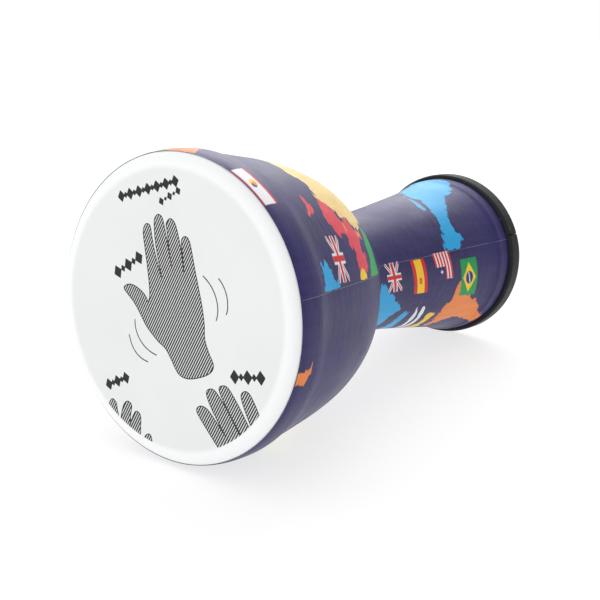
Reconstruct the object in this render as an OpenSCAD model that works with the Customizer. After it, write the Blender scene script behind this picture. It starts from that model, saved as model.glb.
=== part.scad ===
// Pre-tuned goblet hand drum: moulded bowl and pedestal, bonded film head,
// two printed shrink covers and a rubber foot ring.
// The drum stands on its foot. The origin is the centre of the foot ring's
// underside, +Z runs up the drum's axis to the playing surface.
// Every round piece is turned about Z from a profile of [radius, height] points.

/* [Overall] */
// Height from the foot ring's underside to the playing surface
total_h = 305; // [270:1:380]
// Diameter of the white film where it meets the cover's front edge
head_d = 178; // [146:1:216]

/* [Film head] */
// Thickness of the head film
film_t = 0.5; // [0.3:0.05:1]
// Radial width of the film's rolled edge, from the flat zone to the skirt
roll_w = 9.6; // [7:0.1:12]
// Drop of the rolled edge from the flat zone to the straight skirt
roll_drop = 5.9; // [4.5:0.1:8]
// Height of film that shows above the cover's front edge
collar_h = 4.1; // [2.5:0.1:4.5]
// Depth of the straight skirt and of the hoop behind it
skirt_h = 15; // [9:0.1:22]
// Thickness of the stiff hoop that the skirt is bonded to
hoop_t = 2.4; // [1.5:0.1:4]

/* [Bowl] */
// Depth from the cover's front edge to the throat
bowl_depth = 150.4; // [135:0.1:185]
// Radial wall of the bowl
bowl_wall = 4.5; // [3:0.1:7]
// Depth of the ledge that the hoop and the skirt stand on
ledge_w = 0.8; // [0.3:0.05:1.5]
// Chamfer inside the bearing edge
bearing_bevel = 2; // [0.5:0.1:2.5]
// Depth from the cover's front edge to the tuck, where the bowl turns under
tuck_depth = 118; // [100:0.1:126]
// Diameter of the cover at the tuck
tuck_d = 112; // [100:1:126]
// Angle of the bowl's underside above level, at the tuck
tuck_angle = 41; // [30:0.5:60]
// Length of straight pull of the curve below the head
belly_pull = 42.5; // [25:0.1:50]
// Lean of that pull towards the axis
belly_lean = 6.5; // [0:0.1:12]
// Pull of the curve above the tuck
tuck_pull = 33; // [15:0.1:40]
// Pull of the curve below the tuck
underside_pull = 14.2; // [6:0.1:18]

/* [Throat] */
// Outside diameter of the cover at the throat
throat_d = 76; // [68:1:90]
// Pull of the curve into the throat from above
throat_pull = 6; // [2:0.5:12]
// Height of the sleeve that joins the bowl and the pedestal
sleeve_h = 24; // [16:1:32]
// Wall of the sleeve
sleeve_t = 3; // [2:0.1:5]

/* [Pedestal] */
// Radial wall of the pedestal
pedestal_wall = 4; // [3:0.1:6]
// Diameter of the cover where the pedestal enters the foot ring
foot_d = 111.4; // [100:0.1:134]
// Pull of the stem's curve out of the throat
stem_pull = 22; // [12:1:45]
// Height of the lip above the foot ring's top edge
lip_h = 17.9; // [12:0.1:24]
// How much narrower the pedestal is at the top of the lip, on the radius
lip_in = 3.5; // [1:0.1:5]
// Flare of the stem where it meets the lip, in degrees from upright
flare_angle = 10.8; // [4:0.1:20]

/* [Cover] */
// Thickness of the printed cover
cover_t = 0.7; // [0.4:0.05:1.2]
// Height of the turned front edge
turn_h = 2; // [1:0.1:4]
// Height over which the cover draws in from the head's band to the bowl
step_h = 6.5; // [3:0.1:9]
// Direction of the bowl cover's seam, in degrees from +X
bowl_seam = -74; // [-80:1:-60]
// Direction of the pedestal cover's seam, in degrees from +X
pedestal_seam = -69; // [-80:1:-60]
// Width of each seam's lap
lap_w = 7; // [4:0.5:12]
// How far a lap stands above the cover
lap_t = 0.25; // [0.15:0.05:0.5]
// Height that a lap ends above the foot ring
lap_end = 0.6; // [0.3:0.1:2]

/* [Foot ring] */
// Height of the rubber ring
ring_h = 12.8; // [9:0.1:16]
// Outer wall of the rubber channel
ring_wall = 2.7; // [1.8:0.1:4]
// Floor of the rubber channel
ring_floor = 3; // [2:0.1:5]
// Inner wall of the rubber channel
ring_lip_t = 2.2; // [1.5:0.1:4]
// Height of the inner wall
ring_lip_h = 9; // [6:0.1:12]
// Rounding of the ring's outer edges
ring_round = 0.9; // [0.4:0.1:1.2]
// Direction of the ring's butt joint, in degrees from +X
ring_joint = -67; // [-80:1:-60]
// Width of the butt joint
joint_gap = 0.4; // [0.2:0.1:1]

/* [Fits] */
// Glue line between bonded pieces
glue = 0.1; // [0.05:0.05:0.2]

/* [Hidden] */
$fn = 96;
// Points along each curve of the profile
belly_steps = 14;
underside_steps = 8;
stem_steps = 14;
lip_steps = 5;
step_steps = 5;
roll_steps = 8;

// Heights
z_edge = total_h - collar_h;
z_roll = total_h - roll_drop;
z_skirt = z_roll - skirt_h;
z_bowl_top = z_skirt - step_h;
z_tuck = z_edge - tuck_depth;
z_throat = z_edge - bowl_depth;
z_lip = ring_h + lip_h;
z_seat = ring_floor + glue;
land_h = sleeve_h / 2;

// Radii
edge_r = head_d / 2;
flat_r = edge_r - roll_w * sqrt(1 - pow((roll_drop - collar_h) / roll_drop, 2));
skirt_r = flat_r + roll_w;
band_r = skirt_r + glue + cover_t;
hoop_r = skirt_r - film_t - glue;
shell_top_r = hoop_r - hoop_t - glue;
shoulder_r = shell_top_r + ledge_w + glue + cover_t;
tuck_r = tuck_d / 2;
throat_r = throat_d / 2;
foot_r = foot_d / 2;
skin = cover_t + glue;
bore_r = throat_r - skin - pedestal_wall;
foot_bore_r = foot_r - skin - pedestal_wall;

// A cubic curve from a to d, pulled by b and c
function curve(a, b, c, d, steps) =
    [for (i = [0 : steps])
        let (t = i / steps, u = 1 - t)
        u * u * u * a + 3 * u * u * t * b + 3 * u * t * t * c + t * t * t * d];
// The same points in the other order
function reversed(points) = [for (i = [len(points) - 1 : -1 : 0]) points[i]];
// Points moved towards the axis
function inward(points, by) = [for (p = points) [p[0] - by, p[1]]];
// Points of a path that lie above or below a height
function above(points, z) = [for (p = points) if (p[1] > z) p];
function below(points, z) = [for (p = points) if (p[1] < z) p];

// Height of the rolled film edge at radius r, that many millimetres under its face
function roll_z(r, under) =
    z_roll + (roll_drop - under) * sqrt(1 - pow((r - flat_r) / (roll_w - under), 2));
// Radius of the rolled film edge at height z, under its face in the same way
function roll_r(z, under) =
    flat_r + (roll_w - under) * sqrt(1 - pow((z - z_roll) / (roll_drop - under), 2));
// Points on the rolled edge between two radii
function roll_path(from_r, to_r, under) =
    [for (i = [0 : roll_steps])
        let (r = from_r + (to_r - from_r) * i / roll_steps)
        [r, roll_z(r, under)]];
// Points on a whole quarter of the rolled edge
function roll_quarter(under) =
    [for (i = [0 : roll_steps])
        let (a = 90 * i / roll_steps)
        [flat_r + (roll_w - under) * sin(a), z_roll + (roll_drop - under) * cos(a)]];

// Outside of the bowl's cover, from the band's step down to the throat
tuck_dir = [cos(tuck_angle), sin(tuck_angle)];
bowl_top = [shoulder_r, z_bowl_top];
tuck = [tuck_r, z_tuck];
throat = [throat_r, z_throat];
belly_path = curve(bowl_top, bowl_top - [belly_lean, belly_pull],
                   tuck + tuck_pull * tuck_dir, tuck, belly_steps);
underside_path = curve(tuck, tuck - underside_pull * tuck_dir,
                       throat + [0, throat_pull], throat, underside_steps);
bowl_path = concat(belly_path, [for (i = [1 : underside_steps]) underside_path[i]]);
lean_way = [belly_lean, belly_pull] / norm([belly_lean, belly_pull]);
step_path = curve([band_r, z_skirt], [band_r, z_skirt - step_h / 2],
                  bowl_top + lean_way * step_h / 2, bowl_top, step_steps);
cover_path = concat([for (i = [0 : step_steps - 1]) step_path[i]], bowl_path);

// Outside of the pedestal's cover, from the throat down to the foot ring's floor
lip = [foot_r - lip_in, z_lip];
stem_end_pull = stem_pull * 3 / 4;
lip_dir = [sin(flare_angle), -cos(flare_angle)];
foot_top = [foot_r, ring_h];
stem_path = curve(throat, throat - [0, stem_pull], lip - stem_end_pull * lip_dir,
                  lip, stem_steps);
lip_path = curve(lip, lip + lip_h / 3 * lip_dir, foot_top + [0, lip_h / 3],
                 foot_top, lip_steps);
pedestal_path = concat(stem_path, [for (i = [1 : lip_steps]) lip_path[i]]);

// Film head: the flat playing zone, the rolled edge and the skirt, in one piece
module drumhead() {
    color("whitesmoke")
        rotate_extrude()
            polygon(concat(
                [[0, total_h - film_t], [0, total_h]],
                roll_quarter(0),
                [[skirt_r, z_skirt], [skirt_r - film_t, z_skirt]],
                reversed(roll_quarter(film_t))
            ));
}

// Stiff hoop between the skirt and the bowl, which keeps the film stretched
module head_hoop() {
    color("dimgray")
        rotate_extrude()
            polygon(concat(
                [[hoop_r, z_skirt], [hoop_r - hoop_t, z_skirt]],
                roll_path(hoop_r - hoop_t, hoop_r, film_t + glue)
            ));
}

// Moulded bowl with the bearing edge, the hoop's ledge and the sleeve's socket
module bowl_shell() {
    inner = inward(bowl_path, skin + bowl_wall);
    rim_in_r = shell_top_r - bowl_wall;
    ledge_r = shell_top_r + ledge_w;
    ledge_z = z_skirt - glue;
    color("saddlebrown")
        rotate_extrude()
            polygon(concat(
                [[rim_in_r, roll_z(rim_in_r, film_t + glue) - bearing_bevel]],
                roll_path(rim_in_r + bearing_bevel, shell_top_r, film_t + glue),
                [[shell_top_r, ledge_z], [ledge_r, ledge_z]],
                inward(bowl_path, skin),
                [[bore_r, z_throat], [bore_r, z_throat + land_h]],
                reversed(above(inner, z_throat + land_h))
            ));
}

// Short tube glued inside the throat, which joins the bowl to the pedestal
module throat_sleeve() {
    sleeve_r = bore_r - glue;
    color("dimgray")
        translate([0, 0, z_throat - land_h])
            difference() {
                cylinder(h = sleeve_h, r = sleeve_r);
                translate([0, 0, -1])
                    cylinder(h = sleeve_h + 2, r = sleeve_r - sleeve_t);
            }
}

// Moulded pedestal, from the throat to the floor of the foot ring
module pedestal_shell() {
    outer = concat(inward(pedestal_path, skin), [[foot_r - skin, z_seat]]);
    inner = below(inward(pedestal_path, skin + pedestal_wall), z_throat - land_h);
    color("saddlebrown")
        rotate_extrude()
            polygon(concat(
                [[bore_r, z_throat - land_h], [bore_r, z_throat - glue],
                 [throat_r - skin, z_throat - glue]],
                [for (i = [1 : len(outer) - 1]) outer[i]],
                [[foot_bore_r, z_seat]],
                reversed(inner)
            ));
}

// A lap: the strip where a cover's end lies over its start
module lap(path, seam, at_r) {
    rotate([0, 0, seam])
        rotate_extrude(angle = lap_w / at_r * 180 / PI)
            polygon(concat(inward(path, -lap_t), reversed(inward(path, cover_t / 2))));
}

// Printed cover over the head's skirt and the bowl, with its turned front edge
module bowl_wrap() {
    turned = [for (i = [0 : 4])
        let (a = 90 * i / 4)
        [edge_r + glue + (band_r - edge_r - glue) * sin(a), z_edge - turn_h * (1 - cos(a))]];
    under_film = [for (i = [0 : 2])
        let (z = z_roll + (z_edge - z_roll) * i / 3)
        [roll_r(z, 0) + glue, z]];
    color("midnightblue")
        union() {
            rotate_extrude()
                polygon(concat(
                    turned,
                    cover_path,
                    reversed(inward(cover_path, cover_t)),
                    under_film
                ));
            lap(concat([[band_r, z_edge - turn_h]], cover_path), bowl_seam, edge_r);
        }
}

// Printed cover over the pedestal, from the throat into the foot ring
module pedestal_wrap() {
    start = [throat_r, z_throat - glue];
    path = concat([start], [for (i = [1 : len(pedestal_path) - 1]) pedestal_path[i]]);
    outside = concat(path, [[foot_r, z_seat]]);
    lap_path = concat(above(path, ring_h + lap_end), [[foot_r, ring_h + lap_end]]);
    color("midnightblue")
        union() {
            rotate_extrude()
                polygon(concat(outside, reversed(inward(outside, cover_t))));
            lap(lap_path, pedestal_seam, throat_r);
        }
}

// Rubber channel pushed over the pedestal's end, cut through at its butt joint
module foot_ring() {
    outer_r = foot_r + glue + ring_wall;
    lip_r = foot_bore_r - glue;
    bottom_round = [for (a = [-90 : 30 : 0])
        [outer_r - ring_round + ring_round * cos(a), ring_round + ring_round * sin(a)]];
    top_round = [for (a = [0 : 30 : 90])
        [outer_r - ring_round + ring_round * cos(a),
         ring_h - ring_round + ring_round * sin(a)]];
    color("black")
        difference() {
            rotate_extrude()
                polygon(concat(
                    bottom_round,
                    top_round,
                    [[foot_r + glue, ring_h], [foot_r + glue, ring_floor],
                     [lip_r, ring_floor], [lip_r, ring_lip_h],
                     [lip_r - ring_lip_t, ring_lip_h], [lip_r - ring_lip_t, 0]]
                ));
            rotate([0, 0, ring_joint])
                translate([lip_r - 2 * ring_lip_t, -joint_gap / 2, -1])
                    cube([outer_r, joint_gap, ring_h + 2]);
        }
}

drumhead();
head_hoop();
bowl_shell();
throat_sleeve();
pedestal_shell();
bowl_wrap();
pedestal_wrap();
foot_ring();
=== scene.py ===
"""The looks of a goblet drum (darbuka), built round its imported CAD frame.

Each visible piece takes its section from the CAD node that it stands for, so that the
fit between the pieces is the CAD's. The piece is a fine mesh turned from that section,
dressed with what a maker adds: the lap and wrinkles of a printed cover, the butt joint
of the rubber ring, and the ink. Lengths in the size fields are in millimetres, and the
scene is in metres.
"""

import logging
import math
from dataclasses import dataclass, field
from enum import Enum
from typing import Callable, Optional, Sequence

import bmesh
import bpy
import numpy as np
from mathutils import Matrix, Vector


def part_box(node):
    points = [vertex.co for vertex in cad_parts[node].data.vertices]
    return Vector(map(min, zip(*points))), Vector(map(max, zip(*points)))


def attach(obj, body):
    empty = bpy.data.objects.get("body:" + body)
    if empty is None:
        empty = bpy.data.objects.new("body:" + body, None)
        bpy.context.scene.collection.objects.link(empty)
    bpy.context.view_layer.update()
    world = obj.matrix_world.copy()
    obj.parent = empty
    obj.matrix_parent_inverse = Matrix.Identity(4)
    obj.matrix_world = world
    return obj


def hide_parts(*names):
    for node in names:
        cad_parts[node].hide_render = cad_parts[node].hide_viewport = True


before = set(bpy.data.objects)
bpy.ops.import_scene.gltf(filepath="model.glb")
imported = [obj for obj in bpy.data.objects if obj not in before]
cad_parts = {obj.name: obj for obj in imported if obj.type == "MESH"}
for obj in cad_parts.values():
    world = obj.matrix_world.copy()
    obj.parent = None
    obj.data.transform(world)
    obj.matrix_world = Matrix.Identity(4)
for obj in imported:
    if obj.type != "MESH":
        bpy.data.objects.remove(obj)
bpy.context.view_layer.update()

LOG = logging.getLogger("darbuka")
MM = 0.001
BODY = "root"
CUT_TOWARDS = 100.0  # degrees round from +X: sections are cut here, away from the laps
NO_PRINT = 4.0  # mm: the distance kept where a print is far away
OFF_FLAG = 3.0  # flag lengths: the place kept where no flag of that kind is near

Point = tuple[float, float]
Triple = tuple[float, float, float]
Outline = Sequence[Point]


def srgb(red: int, green: int, blue: int) -> Triple:
    """Turns a screen colour, 0 to 255, into the linear colour that a shader takes."""
    scaled = [channel / 255 for channel in (red, green, blue)]
    return tuple(
        c / 12.92 if c <= 0.04045 else ((c + 0.055) / 1.055) ** 2.4 for c in scaled
    )


def rgba(colour: Sequence[float]) -> tuple[float, float, float, float]:
    """Adds full opacity to a linear colour."""
    return (colour[0], colour[1], colour[2], 1.0)


class Ink(Enum):
    """Inks of the printed covers and the head, as linear colour."""

    NAVY = srgb(46, 41, 93)
    CYAN = srgb(36, 166, 224)
    ORANGE = srgb(236, 134, 62)
    CREAM = srgb(240, 208, 132)
    ROSE = srgb(226, 66, 84)
    LEAF = srgb(44, 166, 90)
    GREEN = srgb(0, 152, 74)
    WHITE = srgb(236, 236, 240)
    RED = srgb(214, 34, 44)
    YELLOW = srgb(250, 204, 40)
    BLUE = srgb(38, 44, 112)
    BLACK = srgb(34, 32, 36)


# --------------------------------------------------------------------------- meshes


@dataclass(frozen=True)
class Grain:
    """How finely a section is divided, and how sharp a turn stays a corner."""

    outer: float = 1.0
    inner: float = 4.0
    corner: float = 35.0
    columns: int = 240


@dataclass
class Section:
    """The outline of a turned piece: radius and height in metres, anticlockwise."""

    points: np.ndarray
    closed: bool

    @classmethod
    def of_node(cls, node: bpy.types.Object, towards: float) -> "Section":
        """Cuts a CAD node with a half-plane through the axis.

        Args:
            node: The CAD node, which stays as it is.
            towards: The direction of the cut in degrees from +X.

        Returns:
            The section on a column of the node's own points near that direction.
        """
        mesh = bmesh.new()
        mesh.from_mesh(node.data)
        bmesh.ops.remove_doubles(mesh, verts=mesh.verts, dist=1e-6)
        angle = cls._column_near(mesh, math.radians(towards)) + 2e-5
        across = Vector((-math.sin(angle), math.cos(angle), 0))
        out = Vector((math.cos(angle), math.sin(angle), 0))
        side = {vert: vert.co.dot(across) for vert in mesh.verts}
        found: dict[int, Point] = {}
        for edge in mesh.edges:
            first, second = (side[vert] for vert in edge.verts)
            if (first > 0) == (second > 0):
                continue
            start, end = (vert.co for vert in edge.verts)
            place = start.lerp(end, first / (first - second))
            if place.dot(out) > 0:
                found[edge.index] = (place.dot(out), place.z)
        links: dict[int, list[int]] = {index: [] for index in found}
        for face in mesh.faces:
            cut = [edge.index for edge in face.edges if edge.index in found]
            if len(cut) == 2:
                links[cut[0]].append(cut[1])
                links[cut[1]].append(cut[0])
        mesh.free()
        return cls._from_links(found, links)

    @staticmethod
    def _column_near(mesh: bmesh.types.BMesh, angle: float) -> float:
        """The direction of the outermost points' column that is nearest to angle."""
        reach = max(vert.co.xy.length for vert in mesh.verts)
        rim = [v.co for v in mesh.verts if v.co.xy.length > 0.98 * reach]
        angles = [math.atan2(co.y, co.x) for co in rim]
        return min(angles, key=lambda a: abs(math.remainder(a - angle, math.tau)))

    @classmethod
    def _from_links(
        cls, found: dict[int, Point], links: dict[int, list[int]]
    ) -> "Section":
        """Walks from point to point and returns the section, anticlockwise."""
        ends = [index for index, near in links.items() if len(near) == 1]
        here = max(ends, key=lambda i: found[i][1]) if ends else next(iter(links))
        walk, before = [here], -1
        while True:
            ahead = [n for n in links[here] if n != before and n != walk[0]]
            if not ahead:
                break
            before, here = here, ahead[0]
            walk.append(here)
        points = np.array([found[index] for index in walk])
        if ends:
            points = np.vstack([[0, points[0, 1]], points, [0, points[-1, 1]]])
        keep = [0]
        for index in range(1, len(points)):
            if np.hypot(*(points[index] - points[keep[-1]])) > 2e-5:
                keep.append(index)
        points = points[keep]
        radius, height = points[:, 0], points[:, 1]
        area = np.sum(radius * np.roll(height, -1) - np.roll(radius, -1) * height)
        return cls(points if area > 0 else points[::-1], not ends)

    def divided(self, grain: Grain) -> tuple[np.ndarray, np.ndarray]:
        """Divides the section evenly, smooth between its corners.

        Args:
            grain: The spacing of the outer and inner rows and the corner's angle.

        Returns:
            The rows' (radius, height), and each row's outward (radial, upward) normal.
        """
        points = self.points
        if self.closed:
            start = int(np.argmax(self._turns(points)))
            points = np.roll(points, -start, axis=0)
            points = np.vstack([points, points[:1]])
        turns = self._turns(points)
        turns[[0, -1]] = 180
        corners = np.flatnonzero(turns > grain.corner)
        rows: list[np.ndarray] = []
        for first, last in zip(corners[:-1], corners[1:]):
            run = points[first : last + 1]
            along = run[-1] - run[0]
            faces_out = along[1] >= -1e-5 or run[:, 1].min() > points[:, 1].max() - 5e-3
            spacing = (grain.outer if faces_out else grain.inner) * MM
            rows.append(self._curve(run, spacing)[:-1])
        path = np.vstack(rows if self.closed else rows + [points[-1:]])
        step = np.roll(path, -1, 0) - np.roll(path, 1, 0)
        if not self.closed:
            step[0], step[-1] = path[1] - path[0], path[-1] - path[-2]
        step /= np.maximum(np.hypot(step[:, 0], step[:, 1]), 1e-9)[:, None]
        return path, np.stack([step[:, 1], -step[:, 0]], 1)

    @staticmethod
    def _turns(points: np.ndarray) -> np.ndarray:
        """The angle in degrees by which the outline turns at each point."""
        ahead = np.roll(points, -1, 0) - points
        behind = points - np.roll(points, 1, 0)
        turn = np.arctan2(ahead[:, 1], ahead[:, 0]) - np.arctan2(
            behind[:, 1], behind[:, 0]
        )
        return np.abs(np.degrees((turn + np.pi) % (2 * np.pi) - np.pi))

    @staticmethod
    def _curve(run: np.ndarray, spacing: float) -> np.ndarray:
        """A smooth curve through a run's points, with its rows spaced evenly."""
        length = np.concatenate([[0], np.cumsum(np.hypot(*np.diff(run, axis=0).T))])
        count = max(1, math.ceil(length[-1] / spacing))
        place = np.linspace(0, length[-1], count + 1)
        if len(run) == 2:
            return np.stack([np.interp(place, length, run[:, k]) for k in (0, 1)], 1)
        slope = np.gradient(run, length, axis=0)
        chord = np.diff(run, axis=0) / np.diff(length)[:, None]
        gaps = np.diff(length)
        for index in range(1, len(run) - 1):
            before, after = gaps[index - 1], gaps[index]
            if max(before, after) > 2.5 * min(before, after):
                slope[index] = chord[index - 1] if before > after else chord[index]
        index = np.clip(np.searchsorted(length, place, "right") - 1, 0, len(run) - 2)
        gap = (length[index + 1] - length[index])[:, None]
        part = ((place - length[index])[:, None]) / gap
        square, cube = part**2, part**3
        made = (
            (2 * cube - 3 * square + 1) * run[index]
            + (cube - 2 * square + part) * gap * slope[index]
            + (3 * square - 2 * cube) * run[index + 1]
            + (cube - square) * gap * slope[index + 1]
        )
        calm = np.ones(max(0, len(made) - 2), bool)
        for count in (12, 20):
            for _ in range(min(count, len(made) // 4)):
                even = made[1:-1] / 2 + (made[:-2] + made[2:]) / 4
                made[1:-1] = np.where(calm[:, None], even, made[1:-1])
            if len(made) < 12:
                break
            headings = np.unwrap(np.arctan2(*np.diff(made, axis=0).T))
            bent = np.abs(np.diff(headings)) > 0.12
            calm = np.convolve(bent, np.ones(9), "same") < 0.5
        return made


@dataclass
class TurnedMesh:
    """A mesh turned from a section, with each point's column, height and normal."""

    object: bpy.types.Object
    azimuth: np.ndarray
    height: np.ndarray
    outward: np.ndarray
    radius: np.ndarray

    def store(self, name: str, values: np.ndarray) -> None:
        """Keeps one number for each of the mesh's points, for the material to read."""
        attribute = self.object.data.attributes.new(name, "FLOAT", "POINT")
        attribute.data.foreach_set("value", values.astype(np.float32))


def points_of(node: bpy.types.Object) -> np.ndarray:
    """An object's mesh points in millimetres, one row for each."""
    flat = np.zeros(len(node.data.vertices) * 3, np.float32)
    node.data.vertices.foreach_get("co", flat)
    return flat.reshape(-1, 3) / MM


def turn(
    name: str,
    section: Section,
    grain: Grain,
    columns: Optional[np.ndarray] = None,
    skew: Optional[Callable[[np.ndarray], np.ndarray]] = None,
    relief: Optional[Callable[..., np.ndarray]] = None,
    sweep: float = 360.0,
) -> TurnedMesh:
    """Turns a section round the axis into a closed mesh.

    Args:
        name: The new object's name.
        section: The outline to turn.
        grain: How finely to divide it.
        columns: The directions of the columns in degrees; evenly spaced if left out.
        skew: Gives, for heights in metres, the degrees by which to turn each row.
        relief: Gives, for azimuth, height and the normal's radial part, the metres by
            which a point stands out along its normal.
        sweep: The angle turned through; below 360 the two ends are closed with a face.

    Returns:
        The mesh with the facts that its dressing needs.
    """
    path, normals = section.divided(grain)
    if columns is None:
        columns = np.arange(grain.columns) * 360.0 / grain.columns
    whole = sweep >= 360.0
    row_count, column_count = len(path), len(columns)
    azimuth = np.tile(columns, (row_count, 1)).astype(float)
    height = np.repeat(path[:, 1:], column_count, 1)
    outward = np.repeat(normals[:, :1], column_count, 1)
    if skew is not None:
        azimuth = azimuth + skew(height)
    lift = np.zeros_like(azimuth)
    if relief is not None:
        lift = relief(azimuth, height, outward)
    angle = np.radians(azimuth)
    radius = path[:, :1] + normals[:, :1] * lift
    level = height + normals[:, 1:] * lift
    place = np.stack([radius * np.cos(angle), radius * np.sin(angle), level], -1)
    index = np.arange(row_count * column_count).reshape(row_count, column_count)
    on_axis = path[:, 0] < 1e-7
    index[on_axis] = index[on_axis, :1]
    faces: list[list[int]] = []
    rows_round = row_count if section.closed else row_count - 1
    columns_round = column_count if whole else column_count - 1
    for row in range(rows_round):
        low, high = index[row], index[(row + 1) % row_count]
        for column in range(columns_round):
            beside = (column + 1) % column_count
            ring = [low[column], low[beside], high[beside], high[column]]
            corner = list(dict.fromkeys(int(i) for i in ring))
            if len(corner) > 2:
                faces.append(corner)
    if not whole:
        faces.append([int(i) for i in index[::-1, 0]])
        faces.append([int(i) for i in index[:, -1]])
    used = np.unique(index)
    renumber = np.full(row_count * column_count, -1)
    renumber[used] = np.arange(len(used))
    mesh = bpy.data.meshes.new(name)
    points = place.reshape(-1, 3)[used]
    mesh.from_pydata(points.tolist(), [], [[int(renumber[i]) for i in f] for f in faces])
    mesh.update()
    mesh.polygons.foreach_set("use_smooth", [True] * len(mesh.polygons))
    mesh.set_sharp_from_angle(angle=math.radians(grain.corner))
    made = bpy.data.objects.new(name, mesh)
    bpy.context.scene.collection.objects.link(made)
    flat = [array.reshape(-1)[used] for array in (azimuth, height, outward)]
    return TurnedMesh(made, *flat, np.hypot(points[:, 0], points[:, 1]))


# ------------------------------------------------------------------------ outlines


def smooth(outline: Outline, steps: int = 4) -> np.ndarray:
    """Rounds a closed outline with a curve that passes through each of its points."""
    base = np.array(outline, float)
    before, after, beyond = (np.roll(base, k, 0) for k in (1, -1, -2))
    rounded = []
    for step in range(steps):
        t = step / steps
        rounded.append(
            0.5
            * (
                2 * base
                + (after - before) * t
                + (2 * before - 5 * base + 4 * after - beyond) * t * t
                + (3 * base - before - 3 * after + beyond) * t**3
            )
        )
    return np.stack(rounded, 1).reshape(-1, 2)


def signed_distance(places: np.ndarray, outline: np.ndarray, far: float) -> np.ndarray:
    """Distance from each place to a closed outline, below zero inside it.

    Args:
        places: Places to measure, as an array of pairs.
        outline: The outline's points, in the same unit.
        far: The distance given to places that are further away than this.

    Returns:
        One signed distance for each place.
    """
    result = np.full(len(places), far)
    low, high = outline.min(0) - far, outline.max(0) + far
    near = np.flatnonzero(((places > low) & (places < high)).all(1))
    spot = places[near]
    best = np.full(len(near), far)
    inside = np.zeros(len(near), bool)
    for start, end in zip(outline, np.roll(outline, -1, 0)):
        edge = end - start
        reach = max(float(edge @ edge), 1e-12)
        part = np.clip((spot - start) @ edge / reach, 0, 1)
        best = np.minimum(best, np.hypot(*(spot - start - part[:, None] * edge).T))
        if abs(edge[1]) > 1e-12:
            crosses = (start[1] > spot[:, 1]) != (end[1] > spot[:, 1])
            inside ^= crosses & (
                spot[:, 0] < start[0] + edge[0] * (spot[:, 1] - start[1]) / edge[1]
            )
    result[near] = np.where(inside, -best, best)
    return result


# ----------------------------------------------------------------------- materials


class Shader:
    """Builds one node material, and keeps the joining of its nodes in few words."""

    def __init__(self, name: str) -> None:
        """Starts an empty material with one principled surface."""
        self.material = bpy.data.materials.new(name)
        self.material.use_nodes = True
        self.tree = self.material.node_tree
        self.tree.nodes.clear()
        self.surface = self.tree.nodes.new("ShaderNodeBsdfPrincipled")
        self.output = self.tree.nodes.new("ShaderNodeOutputMaterial")
        self.tree.links.new(self.surface.outputs[0], self.output.inputs["Surface"])

    def node(self, kind: str, inputs: dict, **settings: object) -> bpy.types.Node:
        """Adds a node, sets its settings, and sets or joins its inputs."""
        made = self.tree.nodes.new("ShaderNode" + kind)
        for key, value in settings.items():
            setattr(made, key, value)
        for key, value in inputs.items():
            if isinstance(value, bpy.types.NodeSocket):
                self.tree.links.new(value, made.inputs[key])
            else:
                made.inputs[key].default_value = value
        return made

    def math(self, operation: str, *values: object) -> bpy.types.NodeSocket:
        """One sum of the shader."""
        inputs = dict(enumerate(values))
        return self.node("Math", inputs, operation=operation).outputs[0]

    def mix(self, share: object, under: object, over: object) -> bpy.types.NodeSocket:
        """Lays one colour over another by a share from 0 to 1."""
        inputs = {0: share, 6: under, 7: over}
        return self.node("Mix", inputs, data_type="RGBA").outputs[2]

    def ramp(
        self, value: object, start: float, end: float, low: float = 0, high: float = 1
    ) -> bpy.types.NodeSocket:
        """Takes value from start..end to low..high, with a soft beginning and end."""
        inputs = {0: value, 1: start, 2: end, 3: low, 4: high}
        made = self.node("MapRange", inputs, interpolation_type="SMOOTHSTEP")
        return made.outputs[0]

    def position(self) -> bpy.types.NodeSocket:
        """The place on the drum, in metres."""
        return self.node("TexCoord", {}).outputs["Object"]

    def stored(self, name: str) -> bpy.types.NodeSocket:
        """A number that the mesh keeps for each of its points."""
        return self.node("Attribute", {}, attribute_name=name).outputs["Fac"]

    def noise(
        self, scale: float, detail: float = 4, stretch: Sequence[float] = (1, 1, 1)
    ) -> bpy.types.NodeSocket:
        """Cloudy noise over the drum; scale is in clouds to the metre."""
        placed = self.node("Mapping", {0: self.position(), 3: stretch}).outputs[0]
        inputs = {"Vector": placed, "Scale": scale, "Detail": detail, "Roughness": 0.55}
        return self.node("TexNoise", inputs).outputs[0]

    def tint(self, colour: object, by: object, dark: float, light: float) -> object:
        """Makes a colour darker and lighter by a number from 0 to 1."""
        value = self.ramp(by, 0.3, 0.7, dark, light)
        inputs = {"Color": colour, "Value": value}
        return self.node("HueSaturation", inputs).outputs[0]

    def bump(self, height: object, depth: float, strength: float = 1.0) -> None:
        """Raises the surface by a height from 0 to 1, which stands for depth in metres."""
        inputs = {"Height": height, "Distance": depth, "Strength": strength}
        made = self.node("Bump", inputs)
        self.tree.links.new(made.outputs[0], self.surface.inputs["Normal"])

    def finish(self, colour: object, roughness: object, **sockets: float) -> None:
        """Joins the colour and roughness, and sets plain values on the surface."""
        for key, value in (("Base Color", colour), ("Roughness", roughness)):
            if isinstance(value, bpy.types.NodeSocket):
                self.tree.links.new(value, self.surface.inputs[key])
            else:
                self.surface.inputs[key].default_value = value
        for key, value in sockets.items():
            self.surface.inputs[key.replace("_", " ")].default_value = value


@dataclass(frozen=True)
class Layer:
    """One ink of a cover's print.

    Ragged is how far its edge frays, in millimetres, and streaked is the share of cream
    in its brush marks.
    """

    ink: Ink
    ragged: float
    streaked: float = 0.0

    @property
    def name(self) -> str:
        """The name of the numbers that the mesh keeps for this layer."""
        return "print_" + self.ink.name.lower()


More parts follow.
